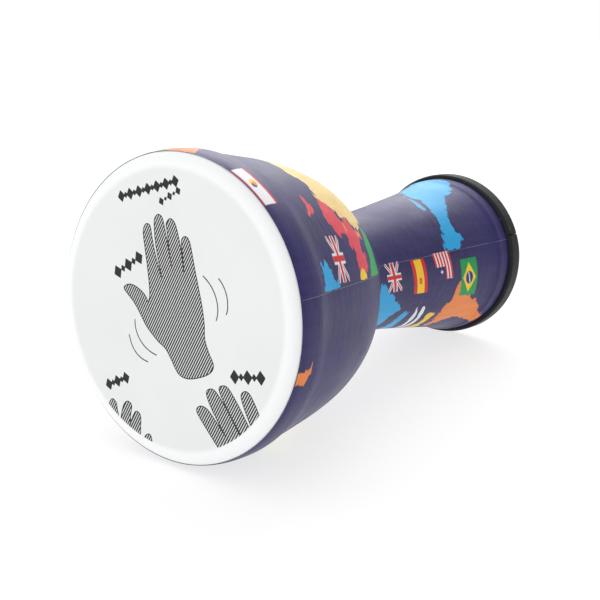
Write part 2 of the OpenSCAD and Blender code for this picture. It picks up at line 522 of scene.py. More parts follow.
# Brushed shapes lie below the flags, in this order.
LAYERS = (
    Layer(Ink.CREAM, 1.7),
    Layer(Ink.ROSE, 2.1, 0.55),
    Layer(Ink.LEAF, 0.4),
    Layer(Ink.YELLOW, 0.9),
    Layer(Ink.WHITE, 0.5),
    Layer(Ink.CYAN, 1.5),
    Layer(Ink.ORANGE, 1.3),
)


@dataclass(frozen=True)
class Shape:
    """One brushed shape: its ink, and its outline in degrees round and mm up."""

    ink: Ink
    outline: Outline


class FlagKind(Enum):
    """The flags of the print, each drawn in the cover's material."""

    CROSS = "cross"
    BANDS = "bands"
    STRIPES = "stripes"
    DIAMOND = "diamond"
    RIM = "rim"


@dataclass(frozen=True)
class Flag:
    """Where one flag is printed: its kind, middle and size on the cover.

    Its length runs round the drum and its depth along the drum's axis, both in mm. Its
    lean is the angle in degrees at which its long sides climb round the drum.
    """

    kind: FlagKind
    azimuth: float
    height: float
    length: float
    depth: float
    lean: float = 0.0


class FlagPainter:
    """Draws the flags over a colour, from each flag's own pair of coordinates."""

    EDGE = 0.035

    def __init__(self, shader: Shader) -> None:
        """Keeps the shader to draw with."""
        self.shader = shader
        self.around: object = 0.0
        self.along: object = 0.0

    def paint(self, kind: FlagKind, under: object) -> object:
        """Draws one kind of flag wherever the mesh says that it is."""
        self.around = self.shader.stored(f"flag_{kind.value}_u")
        self.along = self.shader.stored(f"flag_{kind.value}_v")
        drawing = {
            FlagKind.CROSS: self._cross,
            FlagKind.BANDS: self._bands,
            FlagKind.STRIPES: self._stripes,
            FlagKind.DIAMOND: self._diamond,
            FlagKind.RIM: self._rim,
        }
        return drawing[kind](under)

    def _within(self, value: object, middle: float, half: float) -> object:
        """1 where value is within half of middle, with a soft edge."""
        away = self.shader.math("ABSOLUTE", self.shader.math("SUBTRACT", value, middle))
        return self.shader.ramp(away, half - self.EDGE, half + self.EDGE, 1, 0)

    def _both(self, first: object, second: object) -> object:
        """1 where both are 1."""
        return self.shader.math("MULTIPLY", first, second)

    def _box(self, u: float, v: float, half_u: float, half_v: float) -> object:
        """A filled rectangle."""
        return self._both(
            self._within(self.around, u, half_u), self._within(self.along, v, half_v)
        )

    def _slanted(self, slope: float, half: float) -> object:
        """A band through the middle, from one corner towards the other."""
        across = self.shader.math(
            "SUBTRACT", self.along, self.shader.math("MULTIPLY", self.around, slope)
        )
        return self._within(across, 0.0, half)

    def _disc(self, u: float, v: float, radius: float, squash: float) -> object:
        """A disc; squash makes it round on a flag that is longer than it is deep."""
        aside = self.shader.math("SUBTRACT", self.around, u)
        up = self.shader.math(
            "MULTIPLY", self.shader.math("SUBTRACT", self.along, v), squash
        )
        far = self.shader.math(
            "SQRT",
            self.shader.math(
                "ADD",
                self.shader.math("MULTIPLY", aside, aside),
                self.shader.math("MULTIPLY", up, up),
            ),
        )
        return self.shader.ramp(far, radius - self.EDGE, radius + self.EDGE, 1, 0)

    def _lay(self, share: object, under: object, ink: Ink) -> object:
        """Lays an ink over a colour."""
        return self.shader.mix(share, under, rgba(ink.value))

    def _cross(self, under: object) -> object:
        """A red and white upright cross over a slanted one."""
        cloth = self._box(0, 0, 1, 1)
        for slope in (1, -1):
            share = self._both(self._slanted(slope, 0.2), cloth)
            under = self._lay(share, under, Ink.WHITE)
            share = self._both(self._slanted(slope, 0.075), cloth)
            under = self._lay(share, under, Ink.RED)
        for half, ink in ((0.24, Ink.WHITE), (0.13, Ink.RED)):
            upright = self._box(0, 0, 1, half * 1.3)
            crossing = self._box(0, 0, half, 1)
            under = self._lay(upright, under, ink)
            under = self._lay(crossing, under, ink)
        return under

    def _bands(self, under: object) -> object:
        """A yellow band between two red ones, with a small round badge."""
        under = self._lay(self._box(0, 0, 1, 1), under, Ink.RED)
        under = self._lay(self._box(0, 0, 1, 0.52), under, Ink.YELLOW)
        under = self._lay(self._disc(-0.25, 0, 0.2, 1), under, Ink.RED)
        return self._lay(self._disc(-0.25, 0, 0.1, 1), under, Ink.ORANGE)

    def _stripes(self, under: object) -> object:
        """Red and white stripes with a navy corner and one light star."""
        under = self._lay(self._box(0, 0, 1, 1), under, Ink.WHITE)
        for place in range(6):
            stripe = self._box(0, -0.92 + place * 0.368, 1, 0.105)
            under = self._lay(stripe, under, Ink.RED)
        under = self._lay(self._box(-0.55, 0.45, 0.48, 0.6), under, Ink.NAVY)
        upright = self._box(-0.45, 0.35, 0.13, 0.05)
        level = self._box(-0.45, 0.35, 0.04, 0.16)
        return self._lay(level, self._lay(upright, under, Ink.WHITE), Ink.WHITE)

    def _diamond(self, under: object) -> object:
        """A yellow diamond on green, with a blue disc and its pale ribbon."""
        under = self._lay(self._box(0, 0, 1, 1), under, Ink.GREEN)
        slant = self.shader.math(
            "ADD",
            self.shader.math("ABSOLUTE", self.around),
            self.shader.math("ABSOLUTE", self.along),
        )
        under = self._lay(
            self.shader.ramp(slant, 0.76, 0.84, 1, 0), under, Ink.YELLOW
        )
        disc = self._disc(0, 0, 0.34, 0.78)
        under = self._lay(disc, under, Ink.BLUE)
        ribbon = self._both(self._slanted(0.35, 0.05), self._disc(0, 0, 0.3, 0.78))
        return self._lay(ribbon, under, Ink.WHITE)

    def _rim(self, under: object) -> object:
        """A white cloth between two thin red bands, with a small mixed badge."""
        under = self._lay(self._box(0, 0, 1, 1), under, Ink.RED)
        under = self._lay(self._box(0, 0.04, 1, 0.74), under, Ink.WHITE)
        under = self._lay(self._disc(0.12, -0.05, 0.2, 0.45), under, Ink.YELLOW)
        under = self._lay(self._disc(-0.02, 0.12, 0.13, 0.45), under, Ink.BLUE)
        return self._lay(self._disc(0.06, -0.1, 0.1, 0.45), under, Ink.ORANGE)


@dataclass(frozen=True)
class CoverFinish:
    """Printed satin film of the two covers."""

    roughness: float = 0.38
    gleam: float = 0.3
    sheen_spread: float = 0.10
    weave_depth: float = 0.00011
    seam_share: float = 0.34
    fray_reach: float = 7.0
    edge_half: float = 0.16
    specks_end: Point = (2.0, 3.0)

    def material(self, name: str) -> bpy.types.Material:
        """Builds the cover's material: navy film, brushed shapes, flags and wear."""
        shader = Shader(name)
        cloud = shader.noise(22, 5)
        streak = shader.noise(260, 3, (1.0, 0.35, 0.12))
        colour = shader.tint(rgba(Ink.NAVY.value), cloud, 0.86, 1.18)
        colour = shader.tint(colour, streak, 0.9, 1.12)
        fray = shader.math("SUBTRACT", shader.noise(420, 9, (0.3, 0.3, 1)), 0.5)
        brush = shader.noise(130, 4, (0.2, 0.2, 1))
        sweep = shader.math("SUBTRACT", brush, 0.5)
        fray = shader.math("MULTIPLY_ADD", sweep, 0.7, fray)
        for layer in LAYERS:
            away = shader.stored(layer.name)
            frayed = self.fray_reach * layer.ragged
            reach = shader.math("MULTIPLY_ADD", fray, frayed, away)
            share = shader.math(
                "MULTIPLY",
                shader.ramp(reach, -self.edge_half, self.edge_half, 1, 0),
                shader.ramp(away, *self.specks_end, 1, 0),
            )
            ink = shader.tint(rgba(layer.ink.value), streak, 0.93, 1.05)
            if layer.streaked:
                streaks = shader.ramp(brush, 0.53, 0.6, 0, layer.streaked)
                ink = shader.mix(streaks, ink, rgba(Ink.CREAM.value))
            colour = shader.mix(share, colour, ink)
        painter = FlagPainter(shader)
        for kind in FlagKind:
            colour = painter.paint(kind, colour)
        seam = shader.ramp(shader.stored("seam"), 0.1, 0.3, self.seam_share, 0)
        broken = shader.ramp(shader.noise(70, 4), 0.3, 0.5, 0.3, 1)
        seam = shader.math("MULTIPLY", seam, broken)
        colour = shader.mix(seam, colour, rgba(srgb(176, 174, 190)))
        scuff = shader.ramp(shader.noise(75, 8, (1, 1, 3)), 0.68, 0.76, 0, 0.07)
        colour = shader.mix(scuff, colour, rgba(srgb(150, 148, 160)))
        rough = shader.ramp(
            cloud,
            0.3,
            0.7,
            self.roughness - self.sheen_spread / 2,
            self.roughness + self.sheen_spread,
        )
        shader.finish(colour, rough, Specular_IOR_Level=self.gleam)
        grain = shader.math("MULTIPLY_ADD", shader.noise(1400, 2), 0.25, streak)
        grain = shader.math("MULTIPLY_ADD", shader.noise(240, 6, (0.3, 0.3, 1)), 4, grain)
        shader.bump(grain, self.weave_depth, 0.8)
        return shader.material


@dataclass(frozen=True)
class HeadPrint:
    """The drawing on the head: hatched hands, motion lines and plain ornaments."""

    hatch_pitch: float = 1.5
    hatch_along: Point = (0.895, -0.446)
    hatch_width: float = 0.66
    line_half: float = 0.3


@dataclass(frozen=True)
class HeadFinish:
    """Coated white film of the head, with its ink."""

    drawing: HeadPrint = field(default_factory=HeadPrint)

    def material(self, name: str, flat_radius: float) -> bpy.types.Material:
        """Builds the head's material.

        Args:
            name: The material's name.
            flat_radius: Radius in metres of the flat, coated zone.

        Returns:
            The material, which draws from the numbers that the mesh keeps.
        """
        shader = Shader(name)
        cloud = shader.noise(16, 5)
        coat = shader.noise(900, 3)
        colour = shader.tint(rgba(srgb(227, 229, 228)), cloud, 0.985, 1.015)
        radius = shader.stored("head_radius")
        edge = flat_radius / MM
        # The collar is painted whiter than the flat zone. This is partly the glossier
        # roll's own tone and partly painted light, standing in for the light that falls on
        # the roll.
        collar_tone_and_painted_light = shader.ramp(radius, edge - 1.6, edge + 2.6)
        colour = shader.mix(collar_tone_and_painted_light, colour, rgba(srgb(241, 243, 243)))
        fleck = shader.ramp(shader.noise(210, 8), 0.69, 0.75, 0, 0.16)
        colour = shader.mix(fleck, colour, rgba(srgb(176, 174, 168)))
        ink = self._ink(shader)
        colour = shader.mix(ink, colour, rgba(Ink.BLACK.value))
        rough = shader.ramp(radius, edge - 1, edge + 3, 0.62, 0.42)
        rough = shader.math("MULTIPLY_ADD", shader.noise(60, 4), 0.12, rough)
        shader.finish(colour, rough, Specular_IOR_Level=0.25)
        shader.bump(coat, 0.00002, 0.5)
        return shader.material

    def _ink(self, shader: Shader) -> object:
        """The share of ink: outlines and hatching of the hands, lines, ornaments."""
        split = shader.node("SeparateXYZ", {0: shader.position()})
        east = shader.math("MULTIPLY", split.outputs[0], 1 / MM)
        north = shader.math("MULTIPLY", split.outputs[1], 1 / MM)
        size = self.drawing
        hands = shader.stored("hands")
        inside = shader.ramp(hands, -0.1, 0.1, 1, 0)
        border = shader.ramp(
            shader.math("ABSOLUTE", hands), size.line_half - 0.1, size.line_half + 0.1, 1, 0
        )
        along_x, along_y = size.hatch_along
        across = shader.math(
            "ADD",
            shader.math("MULTIPLY", east, -along_y / size.hatch_pitch),
            shader.math("MULTIPLY", north, along_x / size.hatch_pitch),
        )
        wave = shader.math("PINGPONG", across, 0.5)
        half = size.hatch_width / 2
        hatch = shader.ramp(wave, half - 0.09, half + 0.09, 1, 0)
        hatch = shader.math("MULTIPLY", hatch, inside)
        marks = shader.ramp(shader.stored("marks"), -0.1, 0.1, 1, 0)
        ink = shader.math("MAXIMUM", shader.math("MAXIMUM", border, hatch), marks)
        clip = shader.ramp(shader.stored("head_radius"), 80.2, 80.5, 1, 0)
        worn = shader.ramp(shader.noise(500, 4), 0.24, 0.4, 0.9, 0.99)
        return shader.math("MULTIPLY", shader.math("MULTIPLY", ink, clip), worn)


@dataclass(frozen=True)
class RubberFinish:
    """Moulded black rubber of the foot ring."""

    roughness: float = 0.48

    def material(self, name: str) -> bpy.types.Material:
        """Builds charcoal rubber with bloom, dust and a fine moulded grain."""
        shader = Shader(name)
        cloud = shader.noise(45, 5)
        colour = shader.tint(rgba(srgb(25, 26, 28)), cloud, 0.8, 1.25)
        bloom = shader.ramp(shader.noise(18, 6), 0.45, 0.75, 0, 0.08)
        colour = shader.mix(bloom, colour, rgba(srgb(92, 94, 96)))
        dust = shader.ramp(shader.noise(320, 8), 0.62, 0.72, 0, 0.25)
        colour = shader.mix(dust, colour, rgba(srgb(120, 118, 114)))
        rough = shader.ramp(cloud, 0.3, 0.7, self.roughness - 0.06, self.roughness + 0.1)
        shader.finish(colour, rough, Specular_IOR_Level=0.2)
        shader.bump(shader.noise(1600, 3), 0.00006, 0.6)
        return shader.material


@dataclass(frozen=True)
class MouldedFinish:
    """Moulded plastic or fibre of the inner parts."""

    colour: Triple
    fleck: Triple
    roughness: float
    fibre: float
    metallic: float = 0.0

    def material(self, name: str) -> bpy.types.Material:
        """Builds a mottled moulded surface with fibre streaks and a matt skin."""
        shader = Shader(name)
        cloud = shader.noise(30, 6)
        strand = shader.noise(180, 6, (1, 1, self.fibre))
        colour = shader.tint(rgba(self.colour), cloud, 0.82, 1.16)
        share = shader.ramp(strand, 0.55, 0.68, 0, 0.4)
        colour = shader.mix(share, colour, rgba(self.fleck))
        rough = shader.ramp(strand, 0.3, 0.7, self.roughness - 0.1, self.roughness + 0.08)
        shader.finish(colour, rough, Metallic=self.metallic, IOR=1.5)
        shader.bump(strand, 0.00012, 0.7)
        return shader.material


# --------------------------------------------------------------------------- pieces


def adopt(piece: bpy.types.Object, node: str) -> None:
    """Lets a piece stand for a CAD node and ride on the body."""
    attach(piece, BODY)
    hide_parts(node)


@dataclass
class PlainPiece:
    """A turned inner piece without print: hoop, shells and sleeve."""

    node: str
    name: str
    slot: str
    finish: MouldedFinish
    grain: Grain = field(default_factory=lambda: Grain(outer=2.5, inner=2.5))

    def build(self) -> None:
        """Turns the piece from its CAD section and gives it its finish."""
        section = Section.of_node(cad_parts[self.node], CUT_TOWARDS)
        made = turn(self.name, section, self.grain)
        made.object.data.materials.append(self.finish.material(self.name + "_finish"))
        adopt(made.object, self.node)


@dataclass
class Cover:
    """A printed cover with its lapped seam, faint wrinkles and print."""

    node: str
    name: str
    slot: str
    seam: float
    seam_skew: float
    lap_width: float = 7.0
    lap_radius: float = 70.0
    lap_rise: float = 0.22
    wrinkle: float = 0.05
    # Share, waves round, radians to the metre up, and start in radians.
    waves: Sequence[Sequence[float]] = (
        (1, 7, 140, 0), (0.7, 13, -210, 1.3), (0.5, 23, 330, 2.1),
    )
    ridge_height: float = 0.0
    ridge_rise: float = 0.7
    ridge_width: float = 2.2
    grain: Grain = field(default_factory=lambda: Grain(outer=0.9, inner=8.0))
    columns: int = 600
    near_seam: float = 60.0
    off_seam: float = 9.0
    shapes: Sequence[Shape] = ()
    flags: Sequence[Flag] = ()
    finish: CoverFinish = field(default_factory=CoverFinish)
    middle: float = field(default=0.0, init=False)
    span: float = field(default=1.0, init=False)
    profile: Optional[np.ndarray] = field(default=None, init=False)

    def build(self) -> None:
        """Turns the cover from its CAD section, with the lap and the wrinkles."""
        section = Section.of_node(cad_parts[self.node], CUT_TOWARDS)
        low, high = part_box(self.node)
        self.middle = (low.z + high.z) / 2
        self.span = high.z - low.z
        columns = self._columns(high.x / MM)
        made = turn(
            self.name, section, self.grain, columns, self._skew, self._relief
        )
        self.dress(made)
        made.object.data.materials.append(self.finish.material(self.name + "_finish"))
        adopt(made.object, self.node)

    def dress(self, made: TurnedMesh) -> None:
        """Keeps the print's distances and the flags' coordinates on the mesh."""
        outside = made.outward > 0.05
        azimuth, height = made.azimuth, made.height / MM
        past_seam = self._aside(azimuth, made.height) * made.radius / MM
        for layer in LAYERS:
            nearest = np.full(len(azimuth), NO_PRINT)
            for shape in self.shapes:
                if shape.ink is layer.ink:
                    found = self._distance(shape, azimuth, height)
                    found = self._cut(found, shape, past_seam)
                    nearest = np.minimum(nearest, found)
            made.store(layer.name, np.where(outside, nearest, NO_PRINT))
        for kind in FlagKind:
            around, along = self._flag_coordinates(kind, made)
            made.store(f"flag_{kind.value}_u", np.where(outside, around, OFF_FLAG))
            made.store(f"flag_{kind.value}_v", np.where(outside, along, OFF_FLAG))
        made.store("seam", np.where(outside, np.abs(past_seam), self.off_seam))

    def _columns(self, radius: float) -> np.ndarray:
        """Even columns, with a close pair at the seam's edge."""
        even = self.seam + np.arange(self.columns) * 360.0 / self.columns
        edge = math.degrees(0.06 / radius)
        return np.sort(np.concatenate([even, [self.seam - edge]]))

    def _skew(self, height: np.ndarray) -> np.ndarray:
        """The degrees by which the seam leans at a height."""
        return self.seam_skew * (self.middle - height) / self.span

    def _aside(self, azimuth: np.ndarray, height: np.ndarray) -> np.ndarray:
        """The angle in radians past the seam, from -pi to pi."""
        past = azimuth - self._skew(height) - self.seam
        return np.radians((past + 180) % 360 - 180)

    def _relief(
        self, azimuth: np.ndarray, height: np.ndarray, outward: np.ndarray
    ) -> np.ndarray:
        """The lap's step and the faint waves of a stretched film, in metres."""
        past = self._aside(azimuth, height) * self.lap_radius
        lap = np.where(past >= -1e-6, np.clip(1 - past / self.lap_width, 0, 1), 0)
        angle = np.radians(azimuth)
        waves = sum(
            share * np.sin(round_ * angle + up * height + start)
            for share, round_, up, start in self.waves
        ) / sum(share for share, *_ in self.waves)
        lift = (self.lap_rise * np.sqrt(lap) + self.wrinkle * (waves - 1)) * MM
        if self.ridge_height:
            away = (height / MM - self.ridge_height) / self.ridge_width
            lift = lift + self.ridge_rise * MM * np.exp(-away * away)
        return np.where(outward > 0.05, lift, 0)

    def _distance(
        self, shape: Shape, azimuth: np.ndarray, height: np.ndarray
    ) -> np.ndarray:
        """Signed distance in mm from each point to one brushed shape."""
        outline = smooth(shape.outline, 5)
        centre = outline.mean(0)
        scale = math.radians(self._radius_at(centre[1]))
        past = (azimuth - centre[0] + 180) % 360 - 180
        places = np.stack([past * scale, height], 1)
        flat = np.stack([(outline[:, 0] - centre[0]) * scale, outline[:, 1]], 1)
        return signed_distance(places, flat, NO_PRINT)

    def _cut(
        self, distance: np.ndarray, shape: Shape, past_seam: np.ndarray
    ) -> np.ndarray:
        """Ends a shape at the seam, on the side of the seam that its middle is on."""
        middle = sum(point[0] for point in shape.outline) / len(shape.outline)
        side = (middle - self.seam + 180) % 360 - 180
        if abs(side) > self.near_seam:
            return distance
        own = math.copysign(1, side) * past_seam > 0
        return np.where(own, distance, self.off_seam)

    def _radius_at(self, height: float) -> float:
        """The cover's outer radius in mm at a height in mm, read off its CAD node."""
        points = self._profile()
        near = points[np.abs(points[:, 1] - height) < 4]
        return float(near[:, 0].max()) if len(near) else float(points[:, 0].max())

    def _profile(self) -> np.ndarray:
        """Radius and height of the CAD node's points in mm, kept after the first use."""
        if self.profile is None:
            co = points_of(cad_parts[self.node])
            self.profile = np.stack([np.hypot(co[:, 0], co[:, 1]), co[:, 2]], 1)
        return self.profile

    def _flag_coordinates(
        self, kind: FlagKind, made: TurnedMesh
    ) -> tuple[np.ndarray, np.ndarray]:
        """Each point's place on the nearest flag of a kind, from -1 to 1 within it."""
        best = np.full(len(made.azimuth), 1e9)
        around = np.full(len(made.azimuth), OFF_FLAG)
        along = around.copy()
        for flag in self.flags:
            if flag.kind is not kind:
                continue
            scale = math.radians(self._radius_at(flag.height))
            past = (made.azimuth - flag.azimuth + 180) % 360 - 180
            side, rise = past * scale, made.height / MM - flag.height
            lean = math.radians(flag.lean)
            u = side / (flag.length * math.cos(lean) / 2)
            v = (rise - side * math.tan(lean)) / (flag.depth / 2)
            v = np.where(np.abs(u) > OFF_FLAG, 10 * OFF_FLAG, v)
            away = np.maximum(np.abs(u), np.abs(v))
            nearer = away < best
            best = np.where(nearer, away, best)
            around, along = np.where(nearer, u, around), np.where(nearer, v, along)
        return around, along


@dataclass
class Drumhead:
    """The coated film head with its printed hands."""

    node: str = "drumhead"
    name: str = "drumhead_film"
    slot: str = "head_film"
    roll_width: float = 9.6
    grain: Grain = field(default_factory=lambda: Grain(0.42, 0.42, 35, 720))
    finish: HeadFinish = field(default_factory=HeadFinish)
    hands: Sequence[Outline] = ()
    lines: Sequence[Outline] = ()
    line_half: float = 0.36
    ornaments: Sequence[tuple[Point, Point, int, float]] = ()

    def build(self) -> None:
        """Turns the film from its CAD section, and stores and gives its print."""
        section = Section.of_node(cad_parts[self.node], CUT_TOWARDS)
        made = turn(self.name, section, self.grain)
        self.dress(made)
        _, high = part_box(self.node)
        flat_radius = high.x - self.roll_width * MM
        material = self.finish.material(self.name + "_finish", flat_radius)
        made.object.data.materials.append(material)
        adopt(made.object, self.node)

    def dress(self, made: TurnedMesh) -> None:
        """Keeps the distances to the hands and to the other marks on the mesh."""
        co = points_of(made.object)
        count = len(co)
        places = co[:, :2].astype(float)
        top = co[:, 2] > co[:, 2].max() - 0.25
        hands = np.full(count, NO_PRINT)
        for outline in self.hands:
            found = signed_distance(places, smooth(outline), NO_PRINT)
            hands = np.minimum(hands, found)
        marks = np.full(count, NO_PRINT)
        for line in self.lines:
            marks = np.minimum(marks, self._to_line(places, line) - self.line_half)
        for start, end, number, size in self.ornaments:
            marks = np.minimum(marks, self._to_row(places, start, end, number, size))
        made.store("hands", np.where(top, hands, NO_PRINT))
        made.store("marks", np.where(top, marks, NO_PRINT))
        made.store("head_radius", np.hypot(places[:, 0], places[:, 1]))

    @staticmethod
    def _to_line(places: np.ndarray, line: Outline) -> np.ndarray:
        """Distance in mm to an open curve through the line's points."""
        knots = np.array(line, float)
        steps = np.arange(len(knots))
        fine = np.linspace(0, len(knots) - 1, 8 * len(knots))
        fit = [np.polyfit(steps, knots[:, k], min(3, len(knots) - 1)) for k in (0, 1)]
        curve = np.stack([np.polyval(f, fine) for f in fit], 1)
        best = np.full(len(places), NO_PRINT)
        for start, end in zip(curve[:-1], curve[1:]):
            edge = end - start
            part = np.clip((places - start) @ edge / (edge @ edge), 0, 1)
            best = np.minimum(best, np.hypot(*(places - start - part[:, None] * edge).T))
        return best

    @staticmethod
    def _to_row(
        places: np.ndarray, start: Point, end: Point, number: int, size: float
    ) -> np.ndarray:
        """Distance in mm to a row of small lozenges, large and small in turn."""
        best = np.full(len(places), NO_PRINT)
        first, last = np.array(start), np.array(end)
        along = (last - first) / np.hypot(*(last - first))
        across = np.array([-along[1], along[0]])
        for index in range(number):
            middle = first + (last - first) * index / max(1, number - 1)
            reach = size if index % 2 == 0 else size * 0.55
            near = places - middle
            slant = np.abs(near @ along) * 1.25 + np.abs(near @ across)
            best = np.minimum(best, (slant - reach) / 1.5)
        return best


@dataclass
class FootRing:
    """The rubber channel on the foot, cut through at its butt joint."""

    node: str = "foot_ring"
    name: str = "foot_rubber_ring"
    slot: str = "foot_rubber"
    joint: float = -67.0
    gap: float = 0.1
    groove_half: float = 0.5
    groove_depth: float = 1.3
    groove_slope: float = 0.25
    grain: Grain = field(default_factory=lambda: Grain(0.6, 1.5, 40, 420))
    finish: RubberFinish = field(default_factory=RubberFinish)

    def build(self) -> None:
        """Turns the channel from one cut face round to the other."""
        section = Section.of_node(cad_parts[self.node], CUT_TOWARDS)
        _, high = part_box(self.node)
        half = math.degrees(self.gap * MM / 2 / high.x)
        first, last = self.joint + half, self.joint + 360 - half
        near = np.degrees(np.array([0.15, 0.3, 0.45, 0.6, 0.9]) * MM / high.x)
        even = np.linspace(first, last, self.grain.columns)
        columns = np.sort(np.concatenate([even, first + near, last - near]))
        made = turn(self.name, section, self.grain, columns, None, self._swell, 359)
        made.object.data.materials.append(self.finish.material(self.name + "_finish"))
        adopt(made.object, self.node)

    def _swell(
        self, azimuth: np.ndarray, height: np.ndarray, outward: np.ndarray
    ) -> np.ndarray:
        """The waves of hand-fitted rubber and the groove at its cut ends, in metres."""
        angle = np.radians(azimuth)
        waves = np.sin(9 * angle + 1) + 0.6 * np.sin(17 * angle + 400 * height)
        _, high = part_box(self.node)
        aside = np.abs((azimuth - self.joint + 180) % 360 - 180)
        near = self.groove_half - np.radians(aside) * high.x / MM
        ends = self.groove_depth * np.clip(near / self.groove_slope, 0, 1) * MM
        return np.where(outward > 0.5, 0.00003 * (waves - 1.6) - ends, 0)


# ------------------------------------------------------------------- print's shapes


def moved(outline: Outline, azimuth: float, height: float) -> Outline:
    """The same outline elsewhere, by degrees round the cover and millimetres up it."""
    return [(a + azimuth, z + height) for a, z in outline]


BOWL_CREAM = (
    (4, 238), (-4, 240), (-11, 241.5), (-21, 244.8), (-26.7, 239.5), (-33.5, 240.8),
    (-38, 242.8), (-39.7, 239.5), (-43, 233.9), (-47, 232.6), (-46.7, 225.4),
    (-49.2, 223.1), (-51.5, 218.6), (-49.5, 206.9), (-43, 199.1), (-37.2, 200),
    (-31, 198), (-20, 200), (-8, 206), (0, 214), (6, 226),
)
BOWL_ROSE = (
    (-38.5, 244.1), (-42.5, 246.8), (-48.2, 249.5), (-51.7, 246.8), (-54.8, 243.4),
    (-55.5, 236.4), (-59, 237), (-61.3, 232), (-65.2, 232.6), (-71.5, 233.2),
    (-71.5, 225.4), (-67.5, 219.7), (-63, 220.8), (-59.5, 221.9), (-55.5, 215.3),
    (-52.8, 216.4), (-52, 219.7), (-49.7, 223.1), (-47.2, 226), (-47.5, 233.2),
    (-44, 235.7), (-40, 238.9),
)
BOWL_LEAF = (
    (-50, 208.9), (-55.2, 211), (-59.3, 213.1), (-64.7, 213.1), (-70.6, 217),
    (-73.5, 217), (-73.5, 199), (-70.5, 200), (-65.5, 200), (-59.5, 198.6),
    (-54.5, 200), (-51.2, 203),
)
BOWL_PINK = ((-40.5, 262.2), (-40.3, 257), (-43.3, 258.6), (-46.6, 263.7), (-44, 265))
BOWL_PINK_TIP = ((-36.8, 259.4), (-39.4, 259.2), (-40.6, 263.2))
BOWL_TIP = ((-71, 233.9), (-69.6, 229), (-71.6, 224.8), (-74.5, 226), (-74.5, 233))
BOWL_HAND = (
    (-64.2, 276.6), (-65.9, 273.4), (-64.4, 269.4), (-66.4, 267), (-68.5, 265.6),
    (-71, 265.6), (-72.2, 261.8), (-75.5, 261.4), (-75.5, 277), (-72.2, 277),
    (-68.5, 276.4),
)
BOWL_HOOK = (
    (-98.6, 290.2), (-101.2, 290.4), (-103.8, 292), (-105.9, 295.1), (-106, 299),
    (-105.4, 303), (-101, 303), (-100.6, 296.4), (-102, 293.4), (-100.2, 292.4),
)
FOOT_ARM = (
    (27.8, 37), (29.3, 18.2), (17.8, 19.4), (6.2, 18.2), (-3, 18.2), (-10.2, 26),
    (-17.2, 35.1), (-20.8, 44.9), (-28.2, 52.4), (-36.2, 58.5), (-44.2, 61.6),
    (-52.8, 62.4), (-56.5, 60), (-61.8, 58.5), (-61, 61), (-68.8, 63.3), (-69.4, 67.4),
    (-69.6, 75.1), (-66.2, 78.6), (-58.8, 77.7), (-49.7, 75.1), (-40, 72.5),
    (-31.7, 71.6), (-24.2, 69.1), (-18.2, 69.1), (-11.8, 66.6), (-4.7, 68.2), (6, 62),
    (18, 52),
)
FOOT_FRAY = (
    (1.5, 69.9), (-7.8, 71.6), (-21.5, 73.4), (-26.5, 76), (-22.7, 77.7), (-10, 74),
)
FOOT_ORANGE = (
    (-97.2, 64.1), (-103, 59.3), (-109, 57.7), (-111.5, 47.5), (-116.5, 38),
    (-123.5, 30.1), (-126.5, 29.5), (-129, 24.8), (-135.2, 16.4), (-138, 15.8),
    (-141.5, 18.2), (-140.8, 26.6), (-138, 37), (-136.8, 47.5), (-140, 53.2),
    (-146.8, 58.5), (-158, 62.4), (-148, 66.4), (-130.8, 68.8), (-119.5, 69.8),
    (-115.8, 67.4), (-111.8, 66.6), (-103.5, 66.6),
)
FOOT_CYAN = (
    (-88, 152), (-90, 144.9), (-95.8, 140.9), (-99.2, 135.1), (-107.8, 130.9),
    (-112, 127.1), (-115.5, 121.2), (-120.5, 120.6), (-124.7, 124.8), (-135, 127.9),
    (-143.5, 129.9), (-135, 141), (-118.2, 148.9), (-104, 152),
)
FOOT_STROKE = (
    (-156.8, 115.8), (-137, 116.6), (-128, 115.8), (-124, 108.1), (-132, 107.1),
    (-143, 107.9), (-158.8, 106.1),
)
FOOT_WHITES = (
    ((-160.5, 92.8), (-140, 97.4), (-120.8, 102), (-121.3, 99.8), (-137.8, 94.6),
     (-160.5, 89.6)),
    ((-158.5, 88), (-140.8, 90.8), (-121, 94.9), (-122, 91.9), (-145.2, 86),
     (-160.2, 84.6)),
)
FOOT_YELLOW = (
    (-160.5, 79.6), (-143.5, 79.5), (-129.6, 83.1), (-129.6, 75.2), (-136.8, 74.2),
    (-148.2, 73.4), (-160.5, 69.9),
)
FOOT_RED = (
    (-156, 63.5), (-139.5, 67.2), (-129, 72.2), (-131, 64.3), (-139.8, 61.4),
    (-154.8, 59),
)

BOWL_SHAPES = (
    Shape(Ink.CREAM, BOWL_CREAM),
    Shape(Ink.ROSE, BOWL_ROSE),
    Shape(Ink.ROSE, BOWL_PINK),
    Shape(Ink.ROSE, BOWL_PINK_TIP),
    Shape(Ink.LEAF, BOWL_LEAF),
    Shape(Ink.YELLOW, BOWL_TIP),
    Shape(Ink.CYAN, BOWL_HAND),
    Shape(Ink.ORANGE, BOWL_HOOK),
    Shape(Ink.ORANGE, ((-3, 303), (-2.6, 292), (3, 288), (12, 270), (22, 262), (30, 270),
                       (27, 282), (20, 290), (11, 296), (10, 303))),
    Shape(Ink.CYAN, moved(FOOT_ARM, 92, 188)),
    Shape(Ink.CYAN, moved(FOOT_CYAN, 232, 96)),
    Shape(Ink.CREAM, moved(BOWL_CREAM, 196, 4)),
    Shape(Ink.ROSE, moved(BOWL_ROSE, 196, 4)),
    Shape(Ink.LEAF, moved(BOWL_LEAF, 196, 4)),
    Shape(Ink.ORANGE, moved(FOOT_ORANGE, 212, 208)),
    Shape(Ink.YELLOW, moved(FOOT_YELLOW, 300, 190)),
    Shape(Ink.ROSE, moved(FOOT_RED, 298, 192)),
)
